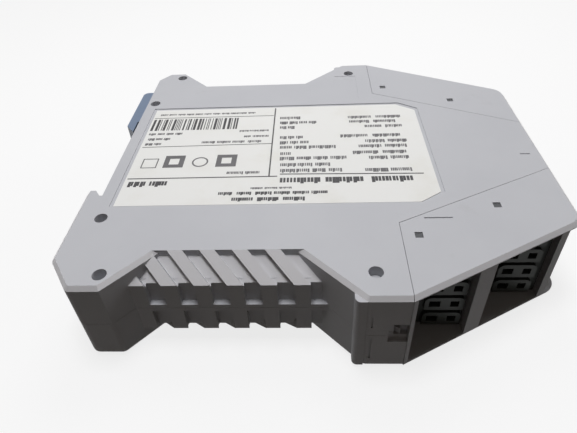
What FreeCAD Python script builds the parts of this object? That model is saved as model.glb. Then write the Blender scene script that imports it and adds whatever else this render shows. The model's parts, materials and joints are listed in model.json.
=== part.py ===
"""Safety relay in a slim rail-mounted housing, 22.5 mm wide.

The housing lies on its plain side. +X runs from the rail side to the operator's side, -Y is the
housing's upper end, +Z runs through the width from the plain side to the side with the label.
All lengths are millimetres.
"""
import FreeCAD, Part

import math
import os
import re

import Sketcher

Vector = FreeCAD.Vector
NEAR_ENOUGH = 1e-4

# ---------------------------------------------------------------- driving sizes
SIZES = {
    # whole housing
    "depth": 111.5, "height": 99.0, "width": 22.5,
    "wall": 1.6, "plate": 1.6, "mitre": 0.6, "edge_bevel": 0.85, "edge_round": 1.6, "corner_round": 1.4,
    "plain_round": 1.8, "lobe_round": 2.4,
    "fit": 0.1, "parting_gap": 0.08,
    # outline, measured from the rail side and from the centre line
    "lobe_reach": 46.7, "lobe_end": 12.6, "lobe_bevel_run": 5.9, "lobe_bevel_rise": 8.0,
    "recess_reach": 36.5, "recess_start": 22.1, "recess_end": 51.4,
    "shoulder_start": 64.5, "shoulder_end": 72.9, "shoulder_step": 62.2, "shoulder_round": 1.1,
    "nose_reach": 29.1, "nose_round": 4.5,
    # rail side: hook, rail floor and foot
    "rail_floor": 4.35, "hook_tip_reach": 16.2, "hook_root_reach": 18.1, "hook_thick": 2.2,
    "hook_lead": 0.8, "hook_notch": 3.6, "far_lobe_drop": 3.4, "far_lobe_run": 2.75,
    # seam between shells and terminal carriers
    "seam_reach": 28.9, "seam_front_reach": 10.0, "seam_gap": 0.1,
    # vents
    "vent_reach": 42.6, "vent_face_rise": 7.18, "vent_first": 19.72, "vent_pitch": 6.83,
    "vent_slot": 3.58, "vent_shift": 6.1, "vent_depth": 1.4, "vent_skin": 1.3, "rib_deep": 2.1,
    "vent_belt": 1.04, "vent_count": 6, "plain_slot": 0.75,
    # snap pins and their sockets
    "pin_bore": 3.0, "pin_boss": 4.6, "pin_sunk": 3.2, "pin_flush": 2.4,
    "pin_rear_place": 6.66, "pin_rear_reach": 26.16, "pin_lobe_place": 11.84,
    "pin_lobe_reach": 43.05, "pin_shoulder_place": 66.6, "pin_shoulder_reach": 42.9,
    # label
    "label_start": 8.15, "label_end": 83.9, "label_reach": 22.0, "label_cut_run": 5.0,
    "label_cut_rise": 3.4, "label_thick": 0.15, "label_recess": 0.25, "label_gap": 0.9,
    "near_gap": 0.2,
    # marks in the label side and in the shoulders
    "panel_place": 62.05, "panel_long": 6.6, "panel_reach": 26.1, "panel_wide": 14.9, "panel_deep": 0.1,
    "dent_beyond": 7.5, "dent_reach": 4.0, "dent_across": 18.6, "dent_deep": 0.35,
    "slit_inset": 5.45, "slit_long": 2.4, "slit_reach": 4.6,
    "mark_place": 65.45, "mark_wide": 0.35, "mark_deep": 0.3, "label_mark_rise": 2.45,
    "label_mark_long": 3.2, "plain_mark_drop": 1.15, "plain_mark_long": 6.8,
    # terminal carriers
    "socket_plate": 1.1, "rear_socket": 73.9, "rear_socket_long": 13.1, "rear_header_reach": 38.9,
    "front_socket_inset": 20.7, "front_socket_long": 15.3, "front_header_reach": 29.8,
    "header_thick": 6.0, "window_side": 1.7, "rear_catch_place": 76.5, "rear_catch_reach": 32.75,
    "front_catch_inset": 16.5, "front_catch_reach": 23.6, "nose_wall": 1.4,
    "nose_set_back": 3.4, "nose_open": 4.1, "slot_place": 78.45, "slot_long": 6.1, "slot_reach": 27.7,
    "slot_wide": 0.35, "slot_deep": 0.4,
    "latch_place": 70.15, "latch_rise": 3.45, "latch_drop": 0.85, "latch_thick": 1.2, "latch_margin": 1.1,
    "latch_sink": 0.9, "latch_ledge": 2.15,
    # headers and contacts
    "pole_pitch": 5.0, "pole_count": 4, "pole_high": 4.0, "pole_long": 8.4, "pole_proud": 1.0,
    "pole_round": 1.4, "pole_shift": 1.9, "contact_side": 0.9, "code_slot": 2.4, "contact_step": 2.0,
    # front cover and lamps
    "cover_thick": 1.6, "lamp_across": 3.0, "lamp_pitch": 5.2, "lamp_long": 5.2, "lamp_flange": 3.8,
    "lamp_count": 3, "flange_thick": 1.0, "lead_side": 0.5, "lead_pitch": 2.54, "lead_run": 3.0,
    # foot catch
    "foot_start": 12.3, "foot_end": 35.6, "foot_high": 20.1, "foot_nose": 3.0, "foot_face": 0.6,
    "foot_lip_slot": 1.2, "foot_lip_deep": 5.4, "foot_round": 1.6, "foot_travel": 2.5,
    "tongue_start": 19.4, "tongue_end": 33.0, "tongue_deep": 4.9, "tongue_high": 8.6,
    "spring_across": 3.2, "spring_wire": 0.5, "spring_turns": 6, "spring_stop": 41.0,
    # boards and what stands on them
    "board_thick": 1.6, "board_rise": 2.0, "board_start": 14.0, "board_wide": 33.4, "board_inset": 4.5,
    "board_gap": 0.5, "part_bevel": 0.4, "link_bevel": 0.2,
    "post_across": 5.0, "post_pip": 2.0, "post_rear_place": 17.0, "post_front_place": 68.0,
    "post_reach": 29.5,
    "relay_long": 40.0, "relay_wide": 13.0, "relay_tall": 14.5, "relay_start": 23.0,
    "relay_reach": 17.4,
    "logic_start": 27.0, "logic_long": 38.0, "logic_wide": 27.0, "logic_rise": 9.0,
    "link_long": 20.0, "link_wide": 2.5, "chip_side": 7.0, "chip_thick": 1.6, "chip_pitch": 14.0,
    "capacitor_across": 10.0, "capacitor_tall": 14.0, "capacitor_place": 82.0,
    "fuse_across": 8.0, "fuse_thick": 2.6, "fuse_inset": 19.5,
    "bridge_long": 8.0, "bridge_wide": 6.4, "bridge_tall": 3.0, "bridge_place": 82.0,
}

doc = FreeCAD.newDocument("SafetyRelay")
sheet = doc.addObject("Spreadsheet::Sheet", "Sizes")
for row, (name, size) in enumerate(SIZES.items(), start=1):
    sheet.set(f"A{row}", name)
    sheet.set(f"B{row}", str(size))
    sheet.setAlias(f"B{row}", name)
doc.recompute()


# ---------------------------------------------------------------- small helpers
def bound(expression):
    """The expression with each size's name pointed at the sheet."""
    return re.sub(r"[a-z_]{3,}", lambda word: f"Sizes.{word[0]}" if word[0] in SIZES else word[0],
                  str(expression))


def value(expression):
    """The expression's number now."""
    return float(sheet.evalExpression(str(expression)))


def body(label, placed=("-depth / 2", "0", "0"), turned=False):
    """A PartDesign body; turned swaps the upper end for the lower one, about the X axis."""
    made = doc.addObject("PartDesign::Body", label)
    made.Label = label
    if turned:
        made.Placement = FreeCAD.Placement(Vector(), FreeCAD.Rotation(Vector(1, 0, 0), 180))
    for axis, expression in zip("xyz", placed):
        made.setExpression(f".Placement.Base.{axis}", bound(expression))
    return made


def sketch(owner, role, offset="0", slide=("0", "0"), tilt=None):
    """A sketch on one of the body's origin planes, raised by offset along its normal."""
    made = owner.newObject("Sketcher::SketchObject", f"{owner.Name}_sketch")
    plane = [item for item in owner.Origin.OriginFeatures if item.Role == role]
    made.AttachmentSupport = [(plane[0], "")]
    made.MapMode = "FlatFace"
    if tilt is not None:
        made.AttachmentOffset = FreeCAD.Placement(Vector(), FreeCAD.Rotation(Vector(1, 0, 0), value(tilt)))
        made.setExpression(".AttachmentOffset.Rotation.Angle", bound(tilt))
    for axis, expression in zip("xyz", (*slide, offset)):
        made.setExpression(f".AttachmentOffset.Base.{axis}", bound(expression))
    return made


def hold(drawing, kind, *where):
    """A driven constraint whose last item is an expression."""
    index = drawing.addConstraint(Sketcher.Constraint(kind, *where[:-1], value(where[-1])))
    drawing.setExpression(f"Constraints[{index}]", bound(where[-1]))


def outline(drawing, corners):
    """A closed outline of straight runs through corners given as pairs of expressions."""
    first = drawing.GeometryCount
    places = [Vector(value(across), value(up), 0) for across, up in corners]
    for index, place in enumerate(places):
        drawing.addGeometry(Part.LineSegment(place, places[(index + 1) % len(places)]))
    for index in range(len(places)):
        following = first + (index + 1) % len(places)
        drawing.addConstraint(Sketcher.Constraint("Coincident", first + index, 2, following, 1))
    for index, (across, up) in enumerate(corners):
        hold(drawing, "DistanceX", -1, 1, first + index, 1, across)
        hold(drawing, "DistanceY", -1, 1, first + index, 1, up)


def rectangle(drawing, left, low, right, high):
    outline(drawing, [(left, low), (right, low), (right, high), (left, high)])


def circle(drawing, across, up, diameter):
    index = drawing.addGeometry(Part.Circle(Vector(value(across), value(up), 0), Vector(0, 0, 1),
                                            value(diameter) / 2))
    hold(drawing, "DistanceX", -1, 1, index, 3, across)
    hold(drawing, "DistanceY", -1, 1, index, 3, up)
    hold(drawing, "Diameter", index, diameter)


def pad(owner, drawing, length, backwards=False):
    made = owner.newObject("PartDesign::Pad", f"{owner.Name}_pad")
    made.Profile = drawing
    made.Reversed = backwards
    made.setExpression("Length", bound(length))
    return made


def pocket(owner, drawing, length, upwards=False):
    """A pocket against the sketch's normal, or along it when upwards."""
    made = owner.newObject("PartDesign::Pocket", f"{owner.Name}_pocket")
    made.Profile = drawing
    made.Reversed = upwards
    made.setExpression("Length", bound(length))
    return made


def repeat(owner, originals, axis_role, spacing, count):
    """Copies of the features along one of the body's axes."""
    made = owner.newObject("PartDesign::LinearPattern", f"{owner.Name}_row")
    made.Originals = originals
    axis = [item for item in owner.Origin.OriginFeatures if item.Role == axis_role]
    made.Direction = (axis[0], [""])
    made.setExpression("Length", bound(f"{spacing} * ({count} - 1)"))
    made.setExpression("Occurrences", bound(count))
    owner.Tip = made
    return made


def edges_through(feature, places):
    """Names of the feature's edges that pass through the given places."""
    names = []
    for index, edge in enumerate(feature.Shape.Edges, start=1):
        if any(edge.distToShape(Part.Vertex(place))[0] < NEAR_ENOUGH for place in places):
            names.append(f"Edge{index}")
    return names


def dress(owner, kind, places, size):
    """A fillet or chamfer on the tip's edges that pass through the given places."""
    doc.recompute()
    base = owner.Tip
    made = owner.newObject(f"PartDesign::{kind}", f"{owner.Name}_{kind}")
    made.Base = (base, edges_through(base, places))
    made.setExpression("Radius" if kind == "Fillet" else "Size", bound(size))
    return made


def middle(first, second, level):
    """The point half way between two corners, at a level."""
    return Vector((value(first[0]) + value(second[0])) / 2, (value(first[1]) + value(second[1])) / 2,
                  value(level))


def block(name, low, size, placed="-depth / 2"):
    """A Part box from its low corner and its three sizes, all expressions."""
    made = doc.addObject("Part::Box", name)
    for side, expression in zip(("Length", "Width", "Height"), size):
        made.setExpression(side, bound(expression))
    for axis, expression in zip("xyz", (f"{low[0]} + ({placed})", low[1], low[2])):
        made.setExpression(f".Placement.Base.{axis}", bound(expression))
    return made


def group(label, pieces):
    """Several primitives as one sub-part."""
    made = doc.addObject("Part::MultiFuse", label)
    made.Label = label
    made.Shapes = pieces
    return made


HALF = "width / 2"
BOARD_TOP = "plate + board_rise + board_thick"
POSTS = [(place, side) for place in ("post_rear_place", "post_front_place") for side in (1, -1)]
SOCKETS = (("rear", "rear_socket", "rear_socket_long", "rear_header_reach"),
           ("front", "(depth - front_socket_inset)", "front_socket_long", "front_header_reach"))


# ---------------------------------------------------------------- housing shells
def shell_outline(near):
    """Corners of a shell's outer outline; near is the sign of Y on the side with the fixed hook."""
    hooked = [
        ("hook_lead", f"{near} * hook_tip_reach"), ("0", f"{near} * (hook_tip_reach + hook_lead)"),
        ("0", f"{near} * (lobe_reach - lobe_bevel_rise)"), ("lobe_bevel_run", f"{near} * lobe_reach")]
    front_near = [
        ("lobe_end", f"{near} * lobe_reach"), ("recess_start", f"{near} * recess_reach"),
        ("recess_end", f"{near} * recess_reach"), ("shoulder_start", f"{near} * height / 2"),
        ("shoulder_end", f"{near} * height / 2"), ("shoulder_end", f"{near} * seam_reach"),
        ("depth", f"{near} * seam_front_reach")]
    front_far = [(across, f"-1 * ({up})") for across, up in reversed(front_near)]
    plain = [
        ("rail_floor + far_lobe_run", f"{-near} * lobe_reach"),
        ("rail_floor", f"{-near} * (lobe_reach - far_lobe_drop)"),
        ("rail_floor", f"{near} * hook_root_reach"),
        ("hook_notch", f"{near} * hook_root_reach"),
        ("hook_thick", f"{near} * hook_tip_reach")]
    return hooked, front_near, front_far, plain


def cavity_outline(near):
    """Corners of the hollow inside a shell, open towards the carriers and the cover."""
    lobe_in = "lobe_reach - wall"
    half = [
        ("lobe_end - mitre", lobe_in), ("recess_start - mitre", "recess_reach - wall"),
        ("recess_end + mitre", "recess_reach - wall"), ("shoulder_start + mitre", "height / 2 - wall"),
        ("shoulder_end - wall", "height / 2 - wall"), ("shoulder_end - wall", "seam_reach + wall"),
        ("depth + wall", "seam_reach + wall")]
    near_half = [(across, f"{near} * ({up})") for across, up in half]
    far_half = [(across, f"{-near} * ({up})") for across, up in reversed(half)]
    near_rear = [
        ("rail_floor + wall", f"{near} * (hook_root_reach + wall)"),
        ("wall", f"{near} * (hook_root_reach + wall)"),
        ("wall", f"{near} * (lobe_reach - lobe_bevel_rise - mitre)"),
        ("lobe_bevel_run + mitre", f"{near} * ({lobe_in})")]
    far_rear = [
        ("rail_floor + far_lobe_run + mitre", f"{-near} * ({lobe_in})"),
        ("rail_floor + wall", f"{-near} * (lobe_reach - far_lobe_drop - 2 * mitre)")]
    return near_rear + near_half + far_half + far_rear


def shoulder_corners(owner):
    """The shoulders' blunt corners, which stand out from the slanted walls below the bevels."""
    slope = "((height / 2 - recess_reach) / (shoulder_start - recess_end))"
    root = f"(recess_reach + (shoulder_step - recess_end) * {slope} - wall / 4)"
    plan = sketch(owner, "XY_Plane", "parting_gap / 2")
    for side in (1, -1):
        outline(plan, [
            ("shoulder_step", f"{side} * {root}"), ("shoulder_step", f"{side} * height / 2"),
            ("shoulder_start", f"{side} * height / 2"), ("shoulder_start", f"{side} * (height / 2 - wall)")])
    pad(owner, plan, f"{HALF} - edge_bevel - parting_gap / 2")
    blunt = [("shoulder_step", f"{side} * height / 2") for side in (1, -1)]
    dress(owner, "Fillet", [middle(corner, corner, "width / 4") for corner in blunt], "shoulder_round")


def slanted_rise(reach, thick):
    """Height, over the parting plane, of a face that lies thick under the vents' slanted face."""
    slope = "((width / 2 - vent_face_rise) / (vent_reach - recess_reach))"
    return f"width / 2 - ({reach} - recess_reach) * {slope} - ({thick}) / cos(atan({slope}))"


def vents(owner, slanted_slot):
    """The bulged vent belts on both ends: their floors, then the ribs that stand on them."""
    floor = "(vent_reach - vent_depth)"
    inner = "(recess_reach - wall / 2)"
    section = sketch(owner, "YZ_Plane", "lobe_end")
    for side in (1, -1):
        outline(section, [
            (f"{side} * {inner}", "parting_gap / 2"), (f"{side} * vent_reach", "parting_gap / 2"),
            (f"{side} * vent_reach", "vent_belt"),
            (f"{side} * {floor}", "vent_belt"), (f"{side} * {floor}", slanted_rise(floor, slanted_slot)),
            (f"{side} * {inner}", slanted_rise(inner, slanted_slot))])
    pad(owner, section, "shoulder_start - lobe_end")
    slope = "(width / 2 - vent_face_rise) / (vent_reach - recess_reach)"
    slant = "sqrt((vent_reach - recess_reach)^2 + (width / 2 - vent_face_rise)^2)"
    rib_start = "(vent_first - vent_pitch + vent_slot)"
    ribs = []
    for side in (1, -1):
        top = sketch(owner, "XY_Plane", HALF, ("0", f"{side} * recess_reach"), f"{-side} * atan({slope})")
        outline(top, [
            (f"{rib_start} - vent_shift", "0"), ("vent_first - vent_shift", "0"),
            ("vent_first", f"{side} * {slant}"), (rib_start, f"{side} * {slant}")])
        ribs.append(pad(owner, top, "rib_deep", backwards=True))
    front = sketch(owner, "XY_Plane", "parting_gap / 2")
    for side in (1, -1):
        rectangle(front, rib_start, f"{side} * (vent_reach - rib_deep)", "vent_first",
                  f"{side} * vent_reach")
    ribs.append(pad(owner, front, "vent_face_rise - parting_gap / 2"))
    # the slanted slots run out through the upright ribs' corners
    share = "(vent_depth / (vent_reach - recess_reach))"
    for side in (1, -1):
        corner = sketch(owner, "XY_Plane", HALF, ("0", f"{side} * recess_reach"), f"{-side} * atan({slope})")
        back, past = f"vent_first - vent_shift * {share}", f"vent_first + vent_shift * {share}"
        near, beyond = f"{side} * {slant} * (1 - {share})", f"{side} * {slant} * (1 + {share})"
        outline(corner, [(back, near), (past, beyond), (f"{past} + 2 * vent_depth", beyond),
                         (f"{back} + 2 * vent_depth", near)])
        ribs.append(pocket(owner, corner, slanted_slot))
    repeat(owner, ribs, "X_Axis", "vent_pitch", "vent_count")


def vent_hollows(owner):
    """The spaces behind the vent belts, so that their walls are as thin as the rest."""
    thick = "vent_depth + vent_skin"
    inner = "(recess_reach - wall - mitre)"
    face = f"(vent_reach - ({thick}))"
    section = sketch(owner, "YZ_Plane", "lobe_end")
    for side in (1, -1):
        outline(section, [
            (f"{side} * {inner}", "0"), (f"{side} * {face}", "0"),
            (f"{side} * {face}", slanted_rise(face, thick)),
            (f"{side} * {inner}", slanted_rise(inner, thick))])
    pocket(owner, section, "shoulder_start - lobe_end", upwards=True)


def pin_places(near):
    """Centres of the six snap pins; the second is the one that guides the foot."""
    return [("pin_rear_place", f"{near} * pin_rear_reach"), ("pin_rear_place", f"{-near} * pin_rear_reach"),
            ("pin_lobe_place", f"{near} * pin_lobe_reach"), ("pin_lobe_place", f"{-near} * pin_lobe_reach"),
            ("pin_shoulder_place", f"{near} * pin_shoulder_reach"),
            ("pin_shoulder_place", f"{-near} * pin_shoulder_reach")]


def shell(label, near, labelled):
    """One half of the housing, built from the parting plane outwards."""
    owner = body(label, ("-depth / 2", "0", HALF), turned=not labelled)
    hooked, front_near, front_far, plain = shell_outline(near)
    around = sketch(owner, "XY_Plane", "parting_gap / 2")
    outline(around, hooked + front_near + front_far + plain)
    pad(owner, around, f"{HALF} - parting_gap / 2")
    rounded = [hooked[3], front_near[3], front_far[-4], plain[0]]
    if not labelled:
        rounded += [front_near[0], front_far[-1]]
    rounded = [middle(corner, corner, "width / 4") for corner in rounded]
    dress(owner, "Fillet", rounded, "corner_round" if labelled else "plain_round")
    dress(owner, "Fillet", [middle(hooked[2], hooked[2], "width / 4")], "lobe_round")
    bevelled = [(hooked[1], hooked[2]), (hooked[2], hooked[3]), (hooked[3], front_near[0]),
                (front_near[0], front_near[1]), (front_near[2], front_near[3]),
                (front_near[3], front_near[4]), (front_far[0], front_near[-1]),
                (front_far[-5], front_far[-4]), (front_far[-4], front_far[-3]),
                (front_far[-2], front_far[-1]), (front_far[-1], plain[0]), (plain[0], plain[1])]
    bevelled = [middle(start, end, HALF) for start, end in bevelled]
    if labelled:
        dress(owner, "Chamfer", bevelled, "edge_bevel")
    else:
        dress(owner, "Fillet", bevelled, "edge_round")
    shoulder_corners(owner)
    vents(owner, "vent_depth" if labelled else "plain_slot")
    hollow = sketch(owner, "XY_Plane")
    outline(hollow, cavity_outline(near))
    pocket(owner, hollow, "width / 2 - plate", upwards=True)
    vent_hollows(owner)

    # the foot's window in the rail wall and the stop for its spring
    window = sketch(owner, "XY_Plane")
    rectangle(window, "rail_floor - wall", f"{-near} * (tongue_end + foot_travel + fit)",
              "rail_floor + wall + fit", f"{-near} * (tongue_start - fit)")
    pocket(owner, window, "tongue_high / 2 + fit", upwards=True)
    stop = sketch(owner, "XY_Plane")
    rectangle(stop, "rail_floor + wall / 2", f"{-near} * spring_stop", "pin_lobe_place",
              f"{-near} * (spring_stop + wall)")
    pad(owner, stop, "width / 2 - plate / 2")

    # snap pins: sockets in the labelled shell, pins on the other
    places = pin_places(near)
    bosses = sketch(owner, "XY_Plane")
    for across, up in places[:1] + places[2:]:
        circle(bosses, across, up, "pin_boss")
    pad(owner, bosses, "(width - plate) / 2")
    beside_foot = sketch(owner, "XY_Plane", "tongue_high / 2 + 2 * fit")
    circle(beside_foot, *places[1], "pin_boss")
    pad(owner, beside_foot, "(width - plate - tongue_high) / 2 - 2 * fit")
    if labelled:
        bores = sketch(owner, "XY_Plane")
        for across, up in places:
            circle(bores, across, up, "pin_bore")
        pocket(owner, bores, "width", upwards=True)
    else:
        for chosen, sunk in ((places[:4] + places[5:], "pin_sunk"), (places[4:5], "pin_flush")):
            pins = sketch(owner, "XY_Plane", f"{sunk} - width / 2")
            for across, up in chosen:
                circle(pins, across, up, "pin_bore - 2 * fit")
            pad(owner, pins, f"width - {sunk} - plate / 2")

    # windows in the shoulders, where the carriers latch, and the fine marks beside them
    for across, sunk, tall in (
            ("latch_place - latch_margin", "latch_sink", "latch_rise" if labelled else "latch_ledge"),
            ("latch_place", "2 * wall + latch_thick", "latch_rise" if labelled else "latch_drop")):
        latches = sketch(owner, "XY_Plane")
        for side in (1, -1):
            rectangle(latches, across, f"{side} * (height / 2 - {sunk})", "shoulder_end + wall",
                      f"{side} * (height / 2 + wall)")
        pocket(owner, latches, tall, upwards=True)
    low, long = ("label_mark_rise", "label_mark_long") if labelled else ("plain_mark_drop", "plain_mark_long")
    marks = sketch(owner, "XY_Plane", low)
    for side in (1, -1):
        rectangle(marks, "mark_place", f"{side} * (height / 2 - mark_deep)", "mark_place + mark_wide",
                  f"{side} * (height / 2 + wall)")
    pocket(owner, marks, long, upwards=True)

    if labelled:
        recess = sketch(owner, "XY_Plane", HALF)
        outline(recess, label_outline("label_gap", "near_gap"))
        pocket(owner, recess, "label_recess")
        panel = sketch(owner, "XY_Plane", HALF)
        rectangle(panel, "panel_place", "panel_reach", "panel_place + panel_long", "panel_reach + panel_wide")
        pocket(owner, panel, "panel_deep")
        dent = sketch(owner, "XY_Plane", HALF)
        circle(dent, "depth + dent_beyond", "-dent_reach", "dent_across")
        pocket(owner, dent, "dent_deep")
        slit = sketch(owner, "XY_Plane", HALF)
        rectangle(slit, "depth - slit_inset", "-slit_reach", "depth - slit_inset + slit_long",
                  "slot_wide - slit_reach")
        pocket(owner, slit, "slot_deep")
    else:
        for level, across, tall in (("board_rise", "post_across", "board_rise"),
                                    ("board_rise + board_thick", "post_pip", "board_rise + board_thick")):
            posts = sketch(owner, "XY_Plane", f"width / 2 - plate - ({level})")
            for place, side in POSTS:
                circle(posts, place, f"{side} * post_reach", across)
            pad(owner, posts, f"{tall} + plate / 2")
    return owner


def label_outline(margin, near_margin):
    """The label's outline grown by a margin, less on the upper end's side; its front corners are cut off."""
    start, end = f"label_start - {margin}", f"label_end + {margin}"
    near, far = f"label_reach + {near_margin}", f"label_reach + {margin}"
    return [(start, f"-({near})"), (f"{end} - label_cut_run", f"-({near})"),
            (end, f"-({near} - label_cut_rise)"), (end, f"{far} - label_cut_rise"),
            (f"{end} - label_cut_run", far), (start, far)]


def label_sheet():
    owner = body("label", ("-depth / 2", "0", "width - label_recess"))
    around = sketch(owner, "XY_Plane")
    outline(around, label_outline("0", "0"))
    pad(owner, around, "label_thick")
    return owner


# ---------------------------------------------------------------- terminal carriers
def seam_at(across):
    """How far out the slanted seam lies at a place along the depth."""
    return (f"(seam_reach - ({across} - shoulder_end) * (seam_reach - seam_front_reach)"
            f" / (depth - shoulder_end))")


def carrier(label, turned):
    """A block with two plug sockets; built at the upper end, turned over for the lower one."""
    owner = body(label, ("-depth / 2", "0", "width" if turned else "0"), turned)
    rear = "(shoulder_end + seam_gap)"
    corners = [
        (rear, "-height / 2"), ("depth", "-nose_reach"), ("depth", "-(seam_front_reach + seam_gap)"),
        (rear, "-(seam_reach + seam_gap)")]
    around = sketch(owner, "XY_Plane")
    outline(around, corners)
    pad(owner, around, "width")
    dress(owner, "Fillet", [middle(corners[1], corners[1], HALF)], "nose_round")
    for level, kind, size in (("width", "Chamfer", "edge_bevel"), ("0", "Fillet", "socket_plate - fit")):
        if turned:
            level = f"width - {level}"
        ends = [middle(corners[0], corners[1], level), middle(corners[1], corners[2], level)]
        dress(owner, kind, ends, size)

    for place, start, length, reach in SOCKETS:
        socket = sketch(owner, "XY_Plane", "socket_plate")
        rectangle(socket, start, "-height / 2 - wall", f"{start} + {length}",
                  f"-{seam_at(start)} + wall")
        pocket(owner, socket, "width - 2 * socket_plate", upwards=True)
    inner = sketch(owner, "XY_Plane", "socket_plate")
    rear_back = "-(rear_header_reach - header_thick)"
    front_back = "-(front_header_reach - header_thick)"
    outline(inner, [
        ("rear_socket", rear_back), ("rear_socket + rear_socket_long + wall", rear_back),
        ("rear_socket + rear_socket_long + wall", front_back), ("depth - nose_wall", front_back),
        ("depth - nose_wall", "-seam_front_reach + wall * 2"),
        ("rear_socket", "-seam_front_reach + wall * 2")])
    pocket(owner, inner, "width - 2 * socket_plate", upwards=True)

    # the wall at the nose stands back between the side plates
    nose = sketch(owner, "XY_Plane", "socket_plate")
    rectangle(nose, "depth - nose_set_back", "-(nose_reach + nose_open)",
              "depth + wall", "nose_open - nose_reach")
    pocket(owner, nose, "width - 2 * socket_plate", upwards=True)

    # a fine slot in one side plate
    slot = sketch(owner, "XY_Plane", "width")
    rectangle(slot, "slot_place", "-slot_reach", "slot_place + slot_long", "slot_wide - slot_reach")
    pocket(owner, slot, "slot_deep")

    # square windows over the headers' catches, in both side plates
    catches = (("rear_catch_place", "rear_catch_reach"),
               ("depth - front_catch_inset", "front_catch_reach"))
    for low in ("0", "width - socket_plate"):
        holes = sketch(owner, "XY_Plane", low)
        for across, up in catches:
            rectangle(holes, f"{across} - window_side / 2", f"-{up} - window_side / 2",
                      f"{across} + window_side / 2", f"-{up} + window_side / 2")
        pocket(owner, holes, "socket_plate", upwards=True)

    # the latch that snaps into the shells' shoulder window
    low = "(width / 2 - latch_drop + fit)"
    high = "(width / 2 + latch_drop - fit)"
    bar = sketch(owner, "XY_Plane", low)
    out = "(height / 2 - wall - 2 * fit)"
    hook = "(latch_place + fit)"
    outline(bar, [
        (f"{rear} + wall / 2", f"-{out} + latch_thick"), (f"{rear} + wall / 2", f"-{out}"),
        (f"{hook} + latch_thick", f"-{out}"), (f"{hook} + latch_thick", f"-{out} - wall / 2"),
        (hook, f"-{out}"), (hook, f"-{out} + latch_thick")])
    pad(owner, bar, f"{high} - {low}")
    return owner


def header(label, start, length, reach, turned):
    """Pin header that closes a socket's inner end, with a raised arch round each pole."""
    owner = body(label, ("-depth / 2", "0", "width" if turned else "0"), turned)
    base = sketch(owner, "XY_Plane", "socket_plate + fit")
    rectangle(base, f"{start} + fit", f"-{reach}", f"{start} + {length} - fit",
              f"-{reach} + header_thick")
    pad(owner, base, "width - 2 * socket_plate - 2 * fit")
    centre = f"({start} + {length} / 2 + pole_shift)"
    first = "(width / 2 - pole_pitch * (pole_count - 1) / 2)"
    arch = sketch(owner, "XZ_Plane", reach)
    left, right = f"{centre} - pole_long / 2", f"{centre} + pole_long / 2"
    rectangle(arch, left, f"{first} - pole_high / 2", right, f"{first} + pole_high / 2")
    arches = pad(owner, arch, "pole_proud")
    repeat(owner, [arches], "Z_Axis", "pole_pitch", "pole_count")
    doc.recompute()
    tops = []
    for index in range(int(value("pole_count"))):
        level = f"{first} + pole_high / 2 + {index} * pole_pitch"
        for side in (left, right):
            tops.append(Vector(value(side), value(f"-{reach} - pole_proud / 2"), value(level)))
    dress(owner, "Fillet", tops, "pole_round")
    bore = sketch(owner, "XZ_Plane", f"{reach} + pole_proud")
    rectangle(bore, f"{centre} + pole_long / 4 - contact_side", f"{first} - contact_side",
              f"{centre} + pole_long / 4 + contact_side", f"{first} + contact_side")
    bores = pocket(owner, bore, "header_thick / 2")
    code = sketch(owner, "XZ_Plane", f"{reach} + pole_proud")
    rectangle(code, f"{centre} - pole_long / 4 - code_slot / 2", f"{first} - contact_side",
              f"{centre} - pole_long / 4 + code_slot / 2", f"{first} + contact_side")
    codes = pocket(owner, code, "header_thick / 2")
    through = sketch(owner, "XZ_Plane", reach)
    rectangle(through, f"{centre} + pole_long / 4 - contact_side / 2", f"{first} - contact_side / 2",
              f"{centre} + pole_long / 4 + contact_side / 2", f"{first} + contact_side / 2")
    throughs = pocket(owner, through, "header_thick")
    repeat(owner, [bores, codes, throughs], "Z_Axis", "pole_pitch", "pole_count")
    return owner


def contacts(label, start, length, reach, side):
    """The header's contacts: straight out of each pole, then down to the main board."""
    across = f"{start} + {length} / 2 + pole_shift + pole_long / 4 - contact_side / 2"
    pieces = []
    for pole in range(int(value("pole_count"))):
        level = f"width / 2 - pole_pitch * (pole_count - 1) / 2 + {pole} * pole_pitch - contact_side / 2"
        back = f"({reach} - header_thick - contact_step / 2 - {pole} * contact_step)"
        front = f"({reach} - header_thick / 4)"
        near = f"-{front}" if side < 0 else f"{back} - contact_side"
        pieces.append(block(f"{label}_blade_{pole}", (across, near, level),
                            ("contact_side", f"{front} - {back} + contact_side", "contact_side")))
        foot = f"-{back}" if side < 0 else f"{back} - contact_side"
        pieces.append(block(f"{label}_leg_{pole}", (across, foot, "plate + board_rise"),
                            ("contact_side", "contact_side", f"{level} - plate - board_rise + contact_side")))
    return group(label, pieces)


# ---------------------------------------------------------------- front cover and lamps
def front_cover():
    """The plate between the carriers on the operator's side, clipped behind the shells."""
    owner = body("front_cover")
    start = "(depth - cover_thick)"
    out = f"{seam_at('depth')}"
    base = sketch(owner, "XY_Plane", "plate + fit")
    outline(base, [(start, f"-({seam_at(start)} - fit)"), ("depth", f"-({out} - fit)"),
                   ("depth", f"{out} - fit"), (start, f"{seam_at(start)} - fit")])
    pad(owner, base, "width - 2 * plate - 2 * fit")
    hole = sketch(owner, "YZ_Plane", "depth")
    circle(hole, "-lamp_pitch", HALF, "lamp_across + 2 * fit")
    holes = pocket(owner, hole, "2 * cover_thick")
    repeat(owner, [holes], "Y_Axis", "lamp_pitch", "lamp_count")
    return owner


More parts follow.
